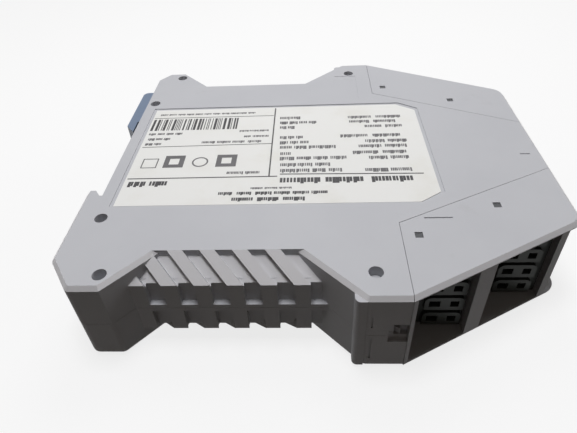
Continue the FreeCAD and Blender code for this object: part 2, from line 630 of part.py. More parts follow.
def lamp(label, place):
    """A round lamp with its two leads bent down to the main board."""
    dome = doc.addObject("PartDesign::Body", f"{label}_dome")
    profile = dome.newObject("Sketcher::SketchObject", f"{label}_profile")
    plane = [item for item in dome.Origin.OriginFeatures if item.Role == "XY_Plane"]
    profile.AttachmentSupport = [(plane[0], "")]
    profile.MapMode = "FlatFace"
    radius, flange = "lamp_across / 2", "lamp_flange / 2"
    straight = "(lamp_long - lamp_across / 2)"
    places = [("0", "0"), ("0", flange), ("flange_thick", flange), ("flange_thick", radius),
              (straight, radius)]
    spots = [Vector(value(across), value(up), 0) for across, up in places]
    for first, second in zip(spots, spots[1:]):
        profile.addGeometry(Part.LineSegment(first, second))
    tip = Vector(value("lamp_long"), 0, 0)
    profile.addGeometry(Part.ArcOfCircle(Part.Circle(Vector(value(straight), 0, 0), Vector(0, 0, 1),
                                                     value(radius)), 0, math.pi / 2))
    profile.addGeometry(Part.LineSegment(tip, spots[0]))
    for index in range(3):
        profile.addConstraint(Sketcher.Constraint("Coincident", index, 2, index + 1, 1))
    profile.addConstraint(Sketcher.Constraint("Coincident", 3, 2, 4, 2))
    profile.addConstraint(Sketcher.Constraint("Coincident", 4, 1, 5, 1))
    profile.addConstraint(Sketcher.Constraint("Coincident", 5, 2, 0, 1))
    for index, (across, up) in enumerate(places[:4]):
        hold(profile, "DistanceX", -1, 1, index, 1, across)
        hold(profile, "DistanceY", -1, 1, index, 1, up)
    hold(profile, "DistanceX", -1, 1, 4, 3, straight)
    profile.addConstraint(Sketcher.Constraint("PointOnObject", 4, 3, -1))
    profile.addConstraint(Sketcher.Constraint("PointOnObject", 4, 1, -1))
    hold(profile, "DistanceX", -1, 1, 4, 2, straight)
    turn = dome.newObject("PartDesign::Revolution", f"{label}_turn")
    turn.Profile = profile
    turn.ReferenceAxis = ([item for item in dome.Origin.OriginFeatures if item.Role == "X_Axis"][0], [""])
    turn.Angle = 360
    back = "depth - lamp_long"
    for axis, expression in zip("xyz", (f"{back} - depth / 2", place, HALF)):
        dome.setExpression(f".Placement.Base.{axis}", bound(expression))
    pieces = [dome]
    for side in (1, -1):
        beside = f"{place} + {side} * lead_pitch / 2 - lead_side / 2"
        bend = f"{back} - lead_run"
        low = "plate + board_rise"
        pieces.append(block(f"{label}_wire_{side + 1}", (bend, beside, "width / 2 - lead_side / 2"),
                            ("lead_run", "lead_side", "lead_side")))
        pieces.append(block(f"{label}_leg_{side + 1}", (bend, beside, low),
                            ("lead_side", "lead_side", f"width / 2 + lead_side / 2 - ({low})")))
    return group(label, pieces)


# ---------------------------------------------------------------- foot catch and spring
def foot_catch():
    """Sliding catch that hooks behind the rail's lower lip; a snap pin guides it in its slot."""
    owner = body("foot_catch", ("-depth / 2", "0", HALF))
    inner = "(rail_floor - fit)"
    lip = f"({inner} - foot_lip_slot)"
    nose = sketch(owner, "XY_Plane", "-foot_high / 2")
    outline(nose, [
        (lip, "foot_start"), ("foot_face", "foot_start + foot_nose"), ("foot_face", "foot_end"),
        (inner, "foot_end"), (inner, "foot_start + foot_lip_deep"), (lip, "foot_start + foot_lip_deep")])
    pad(owner, nose, "foot_high")
    dress(owner, "Fillet", [Vector(value("foot_face"), value("foot_end"), 0)], "foot_round")
    tongue = sketch(owner, "XY_Plane", "-tongue_high / 2")
    deep = "(rail_floor + tongue_deep)"
    rectangle(tongue, f"{inner} - wall / 2", "tongue_start", deep, "tongue_end")
    pad(owner, tongue, "tongue_high")
    slot = sketch(owner, "XY_Plane", "-tongue_high / 2")
    radius = "(pin_bore / 2 + fit)"
    rectangle(slot, f"pin_rear_place - {radius}", f"pin_rear_reach - foot_travel - {radius} - fit",
              f"pin_rear_place + {radius}", f"pin_rear_reach + {radius}")
    pocket(owner, slot, "tongue_high", upwards=True)
    return owner


def foot_spring():
    """Compression spring between the foot's tongue and the stop in the shells."""
    length = value("spring_stop - tongue_end")
    wire = value("spring_wire")
    radius = (value("spring_across") - wire) / 2
    turns = value("spring_turns")
    helix = Part.makeHelix((length - wire) / turns, length - wire, radius)
    start = helix.Edges[0].firstVertex().Point
    section = Part.Wire(Part.Circle(start, Vector(0, 1, 0), wire / 2).toShape())
    made = doc.addObject("Part::Feature", "foot_spring")
    made.Label = "foot_spring"
    made.Shape = Part.Wire(helix.Edges).makePipeShell([section], True, True)
    place = Vector(value("rail_floor + tongue_deep - spring_across / 2 - depth / 2"),
                   value("tongue_end") + wire / 2, value(HALF))
    made.Placement = FreeCAD.Placement(place, FreeCAD.Rotation(Vector(1, 0, 0), -90))
    return made


# ---------------------------------------------------------------- boards and components
def main_board():
    owner = body("main_board", ("-depth / 2", "0", "plate + board_rise"))
    behind_shoulder = "shoulder_end - wall - board_gap"
    in_rear_socket = "rear_socket + board_gap"
    beside_rear_socket = "rear_socket + rear_socket_long + wall - board_gap"
    under_rear = "rear_header_reach - header_thick - board_gap"
    under_front = "front_header_reach - header_thick - board_gap"
    half = [
        ("board_start", "board_wide"), (behind_shoulder, "board_wide"),
        (behind_shoulder, "seam_reach - board_gap"), (in_rear_socket, "seam_reach - board_gap"),
        (in_rear_socket, under_rear), (beside_rear_socket, under_rear),
        (beside_rear_socket, under_front), ("depth - board_inset", under_front)]
    around = sketch(owner, "XY_Plane")
    outline(around, [(across, f"-({up})") for across, up in half] + list(reversed(half)))
    pad(owner, around, "board_thick")
    holes = sketch(owner, "XY_Plane")
    for place, side in POSTS:
        circle(holes, place, f"{side} * post_reach", "post_pip + 2 * fit")
    pocket(owner, holes, "board_thick", upwards=True)
    return owner


def plain_block(label, low, size, bevel="part_bevel"):
    """A moulded component: a block whose upper edges are bevelled."""
    owner = body(label, (f"{low[0]} - depth / 2", low[1], low[2]))
    base = sketch(owner, "XY_Plane")
    rectangle(base, "0", "0", size[0], size[1])
    pad(owner, base, size[2])
    long, wide, tall = (value(item) for item in size)
    edges = [Vector(long / 2, 0, tall), Vector(long / 2, wide, tall), Vector(0, wide / 2, tall),
             Vector(long, wide / 2, tall)]
    dress(owner, "Chamfer", edges, bevel)
    return owner


def safety_relays():
    plain_block("relay_one", ("relay_start", "-(relay_reach + relay_wide)", BOARD_TOP),
                ("relay_long", "relay_wide", "relay_tall"))
    plain_block("relay_two", ("relay_start", "relay_reach", BOARD_TOP),
                ("relay_long", "relay_wide", "relay_tall"))


def logic_parts():
    """The small board on its plug strip, with the two supervising chips."""
    low = "-logic_wide / 2"
    board = body("logic_board", ("logic_start - depth / 2", low, f"{BOARD_TOP} + logic_rise"))
    around = sketch(board, "XY_Plane")
    rectangle(around, "0", "0", "logic_long", "logic_wide")
    pad(board, around, "board_thick")
    plain_block("board_link", ("logic_start + (logic_long - link_long) / 2", "-link_wide / 2", BOARD_TOP),
                ("link_long", "link_wide", "logic_rise"), "link_bevel")
    chips = []
    over_board = f"{BOARD_TOP} + logic_rise + board_thick"
    for index in (0, 1):
        across = f"logic_start + logic_long / 2 - chip_pitch / 2 + {index} * chip_pitch - chip_side / 2"
        chips.append(block(f"chip_{index}", (across, "-chip_side / 2", over_board),
                           ("chip_side", "chip_side", "chip_thick")))
    group("logic_chips", chips)


def supply_parts():
    can = doc.addObject("Part::Cylinder", "supply_capacitor")
    can.Label = "supply_capacitor"
    can.setExpression("Radius", bound("capacitor_across / 2"))
    can.setExpression("Height", bound("capacitor_tall"))
    for axis, expression in zip("xyz", ("capacitor_place - depth / 2", "-capacitor_across", BOARD_TOP)):
        can.setExpression(f".Placement.Base.{axis}", bound(expression))
    disc = doc.addObject("Part::Cylinder", "surge_fuse")
    disc.Label = "surge_fuse"
    disc.Placement = FreeCAD.Placement(Vector(), FreeCAD.Rotation(Vector(0, 1, 0), 90))
    disc.setExpression("Radius", bound("fuse_across / 2"))
    disc.setExpression("Height", bound("fuse_thick"))
    fuse_at = ("depth / 2 - fuse_inset", "0", f"{BOARD_TOP} + fuse_across / 2")
    for axis, expression in zip("xyz", fuse_at):
        disc.setExpression(f".Placement.Base.{axis}", bound(expression))
    plain_block("bridge_rectifier", ("bridge_place - bridge_long / 2", "bridge_wide / 2", BOARD_TOP),
                ("bridge_long", "bridge_wide", "bridge_tall"))


# ---------------------------------------------------------------- the whole relay
shell("label_side_shell", -1, True)
shell("plain_side_shell", 1, False)
label_sheet()
for end, turned in (("upper", False), ("lower", True)):
    carrier(f"{end}_terminal_carrier", turned)
    for place, start, length, reach in SOCKETS:
        header(f"{end}_{place}_header", start, length, reach, turned)
        contacts(f"{end}_{place}_contacts", start, length, reach, 1 if turned else -1)
front_cover()
lamp("power_lamp", "-lamp_pitch")
lamp("channel_one_lamp", "0")
lamp("channel_two_lamp", "lamp_pitch")
foot_catch()
foot_spring()
main_board()
safety_relays()
logic_parts()
supply_parts()

NODES = ["label_side_shell", "plain_side_shell", "label", "upper_terminal_carrier", "lower_terminal_carrier",
         "front_cover", "power_lamp", "channel_one_lamp", "channel_two_lamp", "foot_catch", "foot_spring",
         "main_board", "logic_board", "board_link", "logic_chips", "relay_one", "relay_two",
         "supply_capacitor", "surge_fuse", "bridge_rectifier"]
NODES += [f"{end}_{place}_{kind}" for end in ("upper", "lower") for place in ("rear", "front")
          for kind in ("header", "contacts")]

doc.recompute()
faults = [item.Name for item in doc.Objects if {"Invalid", "Error"} & set(item.State)]
if faults:
    raise RuntimeError(f"failed objects: {faults}")
os.makedirs("parts", exist_ok=True)
for name in NODES:
    part = doc.getObjectsByLabel(name)[0]
    if part.Shape.isNull() or not part.Shape.isValid():
        raise RuntimeError(f"{name} has no valid shape")
for name in NODES:
    part = doc.getObjectsByLabel(name)[0]
    part.Shape.exportStep(f"parts/{name}.step")
    box = part.Shape.BoundBox
    print(f"{name}: {len(part.Shape.Solids)} solids, {part.Shape.Volume:.1f} mm3, "
          f"x {box.XMin:.2f}..{box.XMax:.2f} y {box.YMin:.2f}..{box.YMax:.2f} "
          f"z {box.ZMin:.2f}..{box.ZMax:.2f}")
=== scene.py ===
# %% [markdown]
# # A safety relay, dressed
#
# The relay is a slim grey box that clips on a rail in a control cabinet. Its solids come from the
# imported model, already the right size and in the right place. This notebook gives them the
# finishes of moulded plastic, film and metal, adds the printed rules of the label, and sets up a
# floor, the light and a camera.

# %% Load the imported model
import json
import math
import random

import bmesh
import bpy
from mathutils import Matrix, Vector


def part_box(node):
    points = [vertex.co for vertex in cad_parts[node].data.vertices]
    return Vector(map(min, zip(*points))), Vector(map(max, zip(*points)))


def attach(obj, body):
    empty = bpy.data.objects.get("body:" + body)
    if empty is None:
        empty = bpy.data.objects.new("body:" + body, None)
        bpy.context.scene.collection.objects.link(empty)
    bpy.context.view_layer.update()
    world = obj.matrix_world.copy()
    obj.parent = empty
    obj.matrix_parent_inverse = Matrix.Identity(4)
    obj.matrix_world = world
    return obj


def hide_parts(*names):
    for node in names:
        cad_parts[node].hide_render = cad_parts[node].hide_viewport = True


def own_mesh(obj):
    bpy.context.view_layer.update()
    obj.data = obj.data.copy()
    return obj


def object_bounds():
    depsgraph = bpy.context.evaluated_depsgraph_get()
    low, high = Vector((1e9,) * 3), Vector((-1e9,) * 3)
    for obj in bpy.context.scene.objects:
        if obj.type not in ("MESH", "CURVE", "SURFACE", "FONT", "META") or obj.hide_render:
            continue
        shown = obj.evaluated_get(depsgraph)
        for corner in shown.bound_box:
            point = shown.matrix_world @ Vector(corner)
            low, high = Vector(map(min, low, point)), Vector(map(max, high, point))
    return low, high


MM = 0.001
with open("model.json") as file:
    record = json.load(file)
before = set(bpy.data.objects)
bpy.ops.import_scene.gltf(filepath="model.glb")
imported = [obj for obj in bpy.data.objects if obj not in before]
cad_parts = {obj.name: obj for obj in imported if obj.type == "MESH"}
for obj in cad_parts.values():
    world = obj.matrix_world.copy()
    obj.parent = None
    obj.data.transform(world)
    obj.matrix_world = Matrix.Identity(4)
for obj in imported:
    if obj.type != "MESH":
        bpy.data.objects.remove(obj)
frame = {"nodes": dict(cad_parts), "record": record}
nodes = frame["nodes"]
cad_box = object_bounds()


# %% [markdown]
# ## Two small helpers
#
# Colours are written as the hex codes a designer would pick, and one function turns them into the
# linear numbers Blender works with. A second function adds a node to a material or geometry tree,
# sets its fields and plugs in its links, so each tree below reads from top to bottom.

# %% Colour and node helpers
def linear(code):
    """The linear RGBA of an sRGB hex code such as C6C7CB."""
    shares = [int(code[place:place + 2], 16) / 255 for place in (0, 2, 4)]
    straight = [share / 12.92 if share <= 0.04045 else ((share + 0.055) / 1.055) ** 2.4 for share in shares]
    return straight + [1.0]


def add(tree, kind, fields=None, values=None, links=None):
    """Adds a node; fields are its settings, values its unlinked inputs, links its linked ones."""
    node = tree.nodes.new(kind)
    for name, setting in (fields or {}).items():
        setattr(node, name, setting)
    for name, number in (values or {}).items():
        node.inputs[name].default_value = number
    for name, output in (links or {}).items():
        tree.links.new(output, node.inputs[name])
    return node


# %% [markdown]
# ## Moulded plastic
#
# The housing is dressed as polyamide with the fine, even grain of a spark-eroded tool and a soft
# sheen without clear reflections. Faint clouds and grey rubs stand for dust and wear. Faces that
# slant, such as bevels and ribs, get a lighter colour, a painted highlight that stands for light they catch;
# it is no known finish.
# One function makes every moulded plastic here, since only the colours and the amounts differ.

# %% Moulded plastic
CLOUD_MM = 22.0
CLOUD_SHARE = 0.35
RUB_MM = 9.0
GRAIN_MM = 0.7
# The band of face normals that gets the painted highlight: how far it lies from upright and flat.
HIGHLIGHT_LEVEL = 0.75  # middle of the band: how much of a face's normal points up or down
HIGHLIGHT_FULL, HIGHLIGHT_NONE = 0.14, 0.2  # how far from the middle the colour is full, and gone


def grain_bump(tree, place, size_mm, depth_mm):
    """Bump from a noise whose grains are size_mm across and depth_mm deep."""
    noise = add(tree, "ShaderNodeTexNoise", links={"Vector": place}, values={
        "Scale": 1 / (size_mm * MM), "Detail": 3.0, "Roughness": 0.6})
    return add(tree, "ShaderNodeBump", values={"Strength": 1.0, "Distance": depth_mm * MM},
               links={"Height": noise.outputs[0]})


def moulded(name, colour, cloud, rub=None, slope_highlight=None, roughness=0.55, gloss=0.5, grain_depth=0.006):
    """A moulded plastic: colour with clouds of dust, rubbed patches and a painted highlight on slanting
    faces.
    """
    material = bpy.data.materials.new(name)
    material.use_nodes = True
    tree = material.node_tree
    tree.nodes.clear()
    place = add(tree, "ShaderNodeTexCoord").outputs["Object"]
    clouds = add(tree, "ShaderNodeTexNoise", links={"Vector": place}, values={
        "Scale": 1 / (CLOUD_MM * MM), "Detail": 4.0, "Roughness": 0.55})
    soft = add(tree, "ShaderNodeMapRange", {"interpolation_type": "SMOOTHSTEP"},
               {"From Min": 0.38, "From Max": 0.68, "To Min": 0.0, "To Max": CLOUD_SHARE},
               {"Value": clouds.outputs[0]})
    base = add(tree, "ShaderNodeMix", {"data_type": "RGBA"}, {6: linear(colour), 7: linear(cloud)},
               {0: soft.outputs["Result"]}).outputs[2]
    if rub:
        patches = add(tree, "ShaderNodeTexNoise", links={"Vector": place}, values={
            "Scale": 1 / (RUB_MM * MM), "Detail": 5.0, "Roughness": 0.7})
        worn = add(tree, "ShaderNodeMapRange", {"interpolation_type": "SMOOTHSTEP"},
                   {"From Min": 0.6, "From Max": 0.78, "To Min": 0.0, "To Max": 0.3},
                   {"Value": patches.outputs[0]})
        base = add(tree, "ShaderNodeMix", {"data_type": "RGBA"}, {7: linear(rub)},
                   {0: worn.outputs["Result"], 6: base}).outputs[2]
    # Painted highlight: faces whose normals point partly up or down get a lighter colour that stands for
    # light.
    if slope_highlight:
        facing = add(tree, "ShaderNodeNewGeometry").outputs["True Normal"]
        tilt = add(tree, "ShaderNodeSeparateXYZ", links={0: facing})
        level = add(tree, "ShaderNodeMath", {"operation": "ABSOLUTE"}, links={0: tilt.outputs["Z"]})
        off = add(tree, "ShaderNodeMath", {"operation": "SUBTRACT"}, {1: HIGHLIGHT_LEVEL},
                  {0: level.outputs[0]})
        away = add(tree, "ShaderNodeMath", {"operation": "ABSOLUTE"}, links={0: off.outputs[0]})
        highlight_share = add(tree, "ShaderNodeMapRange", links={"Value": away.outputs[0]}, values={
            "From Min": HIGHLIGHT_FULL, "From Max": HIGHLIGHT_NONE, "To Min": 1.0, "To Max": 0.0})
        base = add(tree, "ShaderNodeMix", {"data_type": "RGBA"}, {7: linear(slope_highlight)},
                   {0: highlight_share.outputs["Result"], 6: base}).outputs[2]
    bump = grain_bump(tree, place, GRAIN_MM, grain_depth)
    shader = add(tree, "ShaderNodeBsdfPrincipled",
                 values={"Roughness": roughness, "IOR": 1.53, "Specular IOR Level": gloss},
                 links={"Base Color": base, "Normal": bump.outputs["Normal"]})
    add(tree, "ShaderNodeOutputMaterial", links={"Surface": shader.outputs[0]})
    return material


# E0DFE1 is the painted highlight on the housing's slanted faces.
housing_polyamide = moulded("housing_polyamide", "C5C6CA", "BDBEC3", rub="B4B4B6", slope_highlight="E0DFE1",
                             gloss=0.3)
header_polyamide = moulded("header_polyamide", "434744", "3C403D", roughness=0.5, gloss=0.3)
foot_polyamide = moulded("foot_polyamide", "8291A8", "7A899F", rub="72809A", roughness=0.42)
print("moulded plastics:", [item.name for item in (housing_polyamide, header_polyamide, foot_polyamide)])

# %% [markdown]
# ## Label film, metal, lamps and boards
#
# The label is dressed as matt polyester film, a warm white with faint yellow stains. The contacts
# are dressed as tinned brass and the spring as steel wire. Lamps, boards and components are hidden
# in the real relay, so their finishes are the usual ones and a guess.

# %% Label film and print
def film(name, colour, stain, roughness):
    """Matt film with faint yellow stains a few millimetres across."""
    material = bpy.data.materials.new(name)
    material.use_nodes = True
    tree = material.node_tree
    tree.nodes.clear()
    place = add(tree, "ShaderNodeTexCoord").outputs["Object"]
    blots = add(tree, "ShaderNodeTexNoise", links={"Vector": place}, values={
        "Scale": 1 / (14.0 * MM), "Detail": 5.0, "Roughness": 0.62})
    share = add(tree, "ShaderNodeMapRange", {"interpolation_type": "SMOOTHSTEP"},
                {"From Min": 0.45, "From Max": 0.75, "To Min": 0.0, "To Max": 0.6},
                {"Value": blots.outputs[0]})
    mixed = add(tree, "ShaderNodeMix", {"data_type": "RGBA"}, {6: linear(colour), 7: linear(stain)},
                {0: share.outputs["Result"]})
    bump = grain_bump(tree, place, 1.6, 0.004)
    shader = add(tree, "ShaderNodeBsdfPrincipled", values={"Roughness": roughness, "IOR": 1.58},
                 links={"Base Color": mixed.outputs[2], "Normal": bump.outputs["Normal"]})
    add(tree, "ShaderNodeOutputMaterial", links={"Surface": shader.outputs[0]})
    return material


label_polyester = film("label_polyester", "EDEDEA", "E4E2DA", 0.7)
dark_ink = film("dark_ink", "4A494B", "626163", 0.6)
grey_ink = film("grey_ink", "6C6B6D", "858485", 0.6)


# %% Metals, lamps and boards
def metal(name, colour, roughness, grain_mm):
    """A plain metal with fine drawn marks."""
    material = bpy.data.materials.new(name)
    material.use_nodes = True
    tree = material.node_tree
    tree.nodes.clear()
    place = add(tree, "ShaderNodeTexCoord").outputs["Object"]
    bump = grain_bump(tree, place, grain_mm, 0.003)
    shader = add(tree, "ShaderNodeBsdfPrincipled", values={"Roughness": roughness, "Metallic": 1.0,
                 "Base Color": linear(colour)}, links={"Normal": bump.outputs["Normal"]})
    add(tree, "ShaderNodeOutputMaterial", links={"Surface": shader.outputs[0]})
    return material


tinned_brass = metal("tinned_brass", "C9C6BE", 0.34, 0.5)
spring_wire = metal("spring_wire", "A9ABAD", 0.28, 0.4)
lamp_epoxy = moulded("lamp_epoxy", "9FB7A2", "93AD98", roughness=0.18, grain_depth=0.0005)
board_laminate = moulded("board_laminate", "2F5A3C", "274F35", roughness=0.3)
chip_epoxy = moulded("chip_epoxy", "2B2B2D", "333335", roughness=0.5)
relay_cover = moulded("relay_cover", "D5D1C4", "CCC8BA", roughness=0.3)
sleeve_film = moulded("sleeve_film", "2A3346", "242C3E", roughness=0.3)
dipped_lacquer = moulded("dipped_lacquer", "B98E3A", "A87F30", roughness=0.32)

# %% [markdown]
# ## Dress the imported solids
#
# Every solid already has a material slot from the record, one per finish. Each slot name leads to
# one of the materials above, so the whole relay is dressed by one short table.

# %% Assign the materials
FINISHES = {"housing": housing_polyamide, "label_foil": label_polyester, "header_plastic": header_polyamide,
            "contact_metal": tinned_brass, "lamp_lens": lamp_epoxy, "foot_plastic": foot_polyamide,
            "spring_steel": spring_wire, "board_laminate": board_laminate, "chip_black": chip_epoxy,
            "relay_case": relay_cover, "capacitor_sleeve": sleeve_film, "fuse_coating": dipped_lacquer}
for part in frame["record"]["subparts"]:
    solid = nodes[part["node"]]
    solid.data.materials.clear()
    solid.data.materials.append(FINISHES[part["material_slot"]])
    print(part["node"], "->", solid.data.materials[0].name)

# %% [markdown]
# ## The spring behind the foot
#
# The steel coil sits between the sliding foot and a stop in the shells. When the foot is pulled
# back from the rail, the coil shortens by the same travel. A rigid copy would let the foot pass
# through its wire. Here the solid is swapped for a merged copy of its mesh, attached to the housing.

# %% Foot spring
coil = bmesh.new()
coil.from_mesh(nodes["foot_spring"].data)
bmesh.ops.remove_doubles(coil, verts=coil.verts, dist=1e-6)
coil_mesh = bpy.data.meshes.new("foot_spring_coil")
coil.to_mesh(coil_mesh)
coil.free()
coil_mesh.materials.append(spring_wire)
spring_coil = bpy.data.objects.new("foot_spring_coil", coil_mesh)
bpy.context.scene.collection.objects.link(spring_coil)
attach(spring_coil, "housing")
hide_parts("foot_spring")
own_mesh(spring_coil)

# %% [markdown]
# ## The label's print
#
# The label carries ruled lines, a bar field, marks and rows of small print. Words and marks are
# left out on purpose: a word is a run of plain upright strokes, as long and as dense as small type
# looks from an arm's length. The bars are random and say nothing, and plain squares and a ring
# stand where marks would be. The strokes repeat by the thousand under one rule, so Geometry Nodes
# lay them. Each row starts as one point that knows its length, its height and its word pitch.

# %% Places on the label
label_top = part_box("label")[1].z
HALF_DEPTH = cad_box[1][0]
PRINT_LIFT = 0.02 * MM
INK_THICK = 0.012 * MM
SKEW = 0.85 * MM


def on_label(across, up):
    """A place on the label's face in millimetres; up grows towards the upper terminals."""
    return Vector((across * MM + SKEW - HALF_DEPTH, -up * MM, label_top + PRINT_LIFT))


# %% Rows of small print: start, end, distance from the centre line, height, word pitch
SMALL_ROWS = [
    (9.1, 38.8, -19.2, 0.9, 2.6), (8.1, 18.3, -8.7, 1.1, 2.5), (8.5, 15.2, -6.1, 1.2, 2.2),
    (8.3, 13.2, -3.7, 1.1, 2.4), (33.6, 42.3, -9.4, 0.9, 2.8), (35.1, 42.4, -6.6, 0.9, 2.4),
    (23.8, 42.4, -4.0, 1.2, 4.2), (32.4, 42.3, 10.0, 1.2, 4.6), (38.9, 49.1, 16.2, 0.7, 3.4),
    (66.6, 79.8, 9.8, 1.5, 6.2), (68.0, 79.8, 4.6, 1.5, 5.4), (64.1, 79.9, 2.2, 1.5, 7.6),
    (65.8, 80.0, -0.6, 1.5, 6.8), (67.7, 80.0, -3.0, 1.5, 5.9), (61.3, 79.9, -5.7, 1.5, 8.6),
    (68.2, 79.9, -10.3, 1.5, 5.6), (64.1, 79.9, -12.9, 1.5, 6.7), (63.9, 80.1, -15.3, 1.5, 7.8),
    (45.7, 62.0, 9.5, 1.5, 4.0), (45.6, 59.3, 7.1, 1.5, 4.4), (45.4, 62.7, 4.3, 1.5, 4.3),
    (45.4, 48.3, 2.2, 1.5, 1.5), (45.2, 60.4, -0.7, 1.5, 3.8), (45.1, 53.2, -3.0, 1.5, 2.7),
    (45.0, 51.8, -5.5, 1.5, 2.2), (44.8, 49.3, -10.6, 1.5, 2.2), (44.7, 55.4, -13.1, 1.5, 2.7),
    (44.6, 50.8, -15.7, 1.5, 3.0)]
BOLD_ROWS = [
    (8.5, 19.2, 13.9, 2.1, 5.3), (45.8, 79.6, 13.5, 2.3, 11.0), (31.4, 56.7, 18.1, 1.2, 4.4),
    (34.8, 53.3, 20.3, 1.4, 6.0)]
print("rows of print:", len(SMALL_ROWS) + len(BOLD_ROWS))


# %% Helpers for geometry trees
def points_mesh(name, places, numbers):
    """A mesh of loose points with one float attribute for each entry of numbers."""
    mesh = bpy.data.meshes.new(name)
    mesh.from_pydata([tuple(place) for place in places], [], [])
    for key, figures in numbers.items():
        layer = mesh.attributes.new(key, "FLOAT", "POINT")
        layer.data.foreach_set("value", figures)
    piece = bpy.data.objects.new(name, mesh)
    bpy.context.scene.collection.objects.link(piece)
    return piece


def nodes_tree(name, inputs):
    """An empty geometry tree with a geometry input and output and the named inputs."""
    tree = bpy.data.node_groups.new(name, "GeometryNodeTree")
    tree.interface.new_socket("Geometry", in_out="INPUT", socket_type="NodeSocketGeometry")
    for key, kind in inputs.items():
        tree.interface.new_socket(key, in_out="INPUT", socket_type=kind)
    tree.interface.new_socket("Geometry", in_out="OUTPUT", socket_type="NodeSocketGeometry")
    return tree, tree.nodes.new("NodeGroupInput").outputs


def times(tree, first, second):
    """The product of two outputs."""
    return add(tree, "ShaderNodeMath", {"operation": "MULTIPLY"}, links={0: first, 1: second}).outputs[0]


def kept(tree, key):
    """A float that each point carries along."""
    return add(tree, "GeometryNodeInputNamedAttribute", {"data_type": "FLOAT"}, {"Name": key}).outputs[0]


def between(tree, low, high, seed):
    """A random number for each point."""
    return add(tree, "FunctionNodeRandomValue", {"data_type": "FLOAT"}, {2: low, 3: high},
               {"Seed": seed}).outputs[1]


def strung_out(tree, geometry, long, pitch):
    """Each point becomes a string of points, a pitch apart, over a length."""
    share = add(tree, "ShaderNodeMath", {"operation": "DIVIDE"}, links={0: long, 1: pitch})
    count = add(tree, "FunctionNodeFloatToInt", {"rounding_mode": "ROUND"}, links={0: share.outputs[0]})
    copies = add(tree, "GeometryNodeDuplicateElements", {"domain": "POINT"},
                 links={"Geometry": geometry, "Amount": count.outputs[0]})
    along = times(tree, copies.outputs["Duplicate Index"], pitch)
    offset = add(tree, "ShaderNodeCombineXYZ", links={"X": along})
    return add(tree, "GeometryNodeSetPosition",
               links={"Geometry": copies.outputs[0], "Offset": offset.outputs[0]}).outputs[0]


def grown(piece, tree, settings):
    """Runs a geometry tree on a piece and returns a new plain mesh object of the result."""
    modifier = piece.modifiers.new("nodes", "NODES")
    modifier.node_group = tree
    for item in tree.interface.items_tree:
        if item.in_out == "INPUT" and item.name in settings:
            modifier[item.identifier] = settings[item.name]
    piece.update_tag()
    bpy.context.view_layer.update()
    evaluated = piece.evaluated_get(bpy.context.evaluated_depsgraph_get())
    mesh = bpy.data.meshes.new_from_object(evaluated)
    mesh.name = piece.name
    name = piece.name
    bpy.data.objects.remove(piece)
    result = bpy.data.objects.new(name, mesh)
    bpy.context.scene.collection.objects.link(result)
    print(name, "triangles:", sum(len(face.vertices) - 2 for face in mesh.polygons))
    return result


# %% Rows, words, strokes
WORD_SHARES = (0.8, 0.93)  # how much of its pitch a word fills
STROKE_SPREAD = (0.7, 1.3)  # how far a stroke's width strays
LOW_LETTERS = 0.68  # the share of strokes that are low
LOW_SHARE = 0.78  # how high a low stroke is, against a tall one
PRINT_SEED = 4


def rows_tree():
    """Rows become words, words become strokes; each stroke is one thin box of ink."""
    tree, given = nodes_tree("rows_of_strokes", {
        "Thickness": "NodeSocketFloat", "Stroke Pitch": "NodeSocketFloat", "Stroke Width": "NodeSocketFloat",
        "Seed": "NodeSocketInt", "Ink": "NodeSocketMaterial"})
    words = strung_out(tree, given["Geometry"], kept(tree, "row_long"), kept(tree, "word_pitch"))
    word_long = times(tree, kept(tree, "word_pitch"), between(tree, *WORD_SHARES, given["Seed"]))
    words = add(tree, "GeometryNodeStoreNamedAttribute", {"data_type": "FLOAT", "domain": "POINT"},
                {"Name": "word_long"}, {"Geometry": words, "Value": word_long}).outputs[0]
    pitch = times(tree, kept(tree, "row_high"), given["Stroke Pitch"])
    strokes = strung_out(tree, words, kept(tree, "word_long"), pitch)
    stray = between(tree, *STROKE_SPREAD, given["Seed"])
    width = times(tree, times(tree, pitch, given["Stroke Width"]), stray)
    tall = add(tree, "ShaderNodeMath", {"operation": "GREATER_THAN"}, {1: LOW_LETTERS},
               {0: between(tree, 0.0, 1.0, given["Seed"])})
    rise = add(tree, "ShaderNodeMath", {"operation": "MULTIPLY_ADD"}, {1: 1 - LOW_SHARE, 2: LOW_SHARE},
               {0: tall.outputs[0]})
    high = times(tree, kept(tree, "row_high"), rise.outputs[0])
    size = add(tree, "ShaderNodeCombineXYZ", links={"X": width, "Y": high, "Z": given["Thickness"]})
    cube = add(tree, "GeometryNodeMeshCube", values={"Size": (1.0, 1.0, 1.0)})
    footed = add(tree, "GeometryNodeTransform", values={"Translation": (0.5, -0.5, 0.0)},
                 links={"Geometry": cube.outputs[0]})
    printed = add(tree, "GeometryNodeInstanceOnPoints",
                  links={"Points": strokes, "Instance": footed.outputs[0], "Scale": size.outputs[0]})
    real = add(tree, "GeometryNodeRealizeInstances", links={"Geometry": printed.outputs[0]})
    inked = add(tree, "GeometryNodeSetMaterial",
                links={"Geometry": real.outputs[0], "Material": given["Ink"]})
    add(tree, "NodeGroupOutput", links={"Geometry": inked.outputs[0]})
    return tree


def printed_rows(name, rows, settings):
    """The strokes of several rows as one piece on the label."""
    points = points_mesh(name, [on_label(start, up - high / 2) for start, end, up, high, pitch in rows], {
        "row_long": [(end - start) * MM for start, end, up, high, pitch in rows],
        "row_high": [high * MM for start, end, up, high, pitch in rows],
        "word_pitch": [pitch * MM for start, end, up, high, pitch in rows]})
    piece = grown(points, rows_tree(), {"Thickness": INK_THICK, "Seed": PRINT_SEED, **settings})
    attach(piece, "housing")


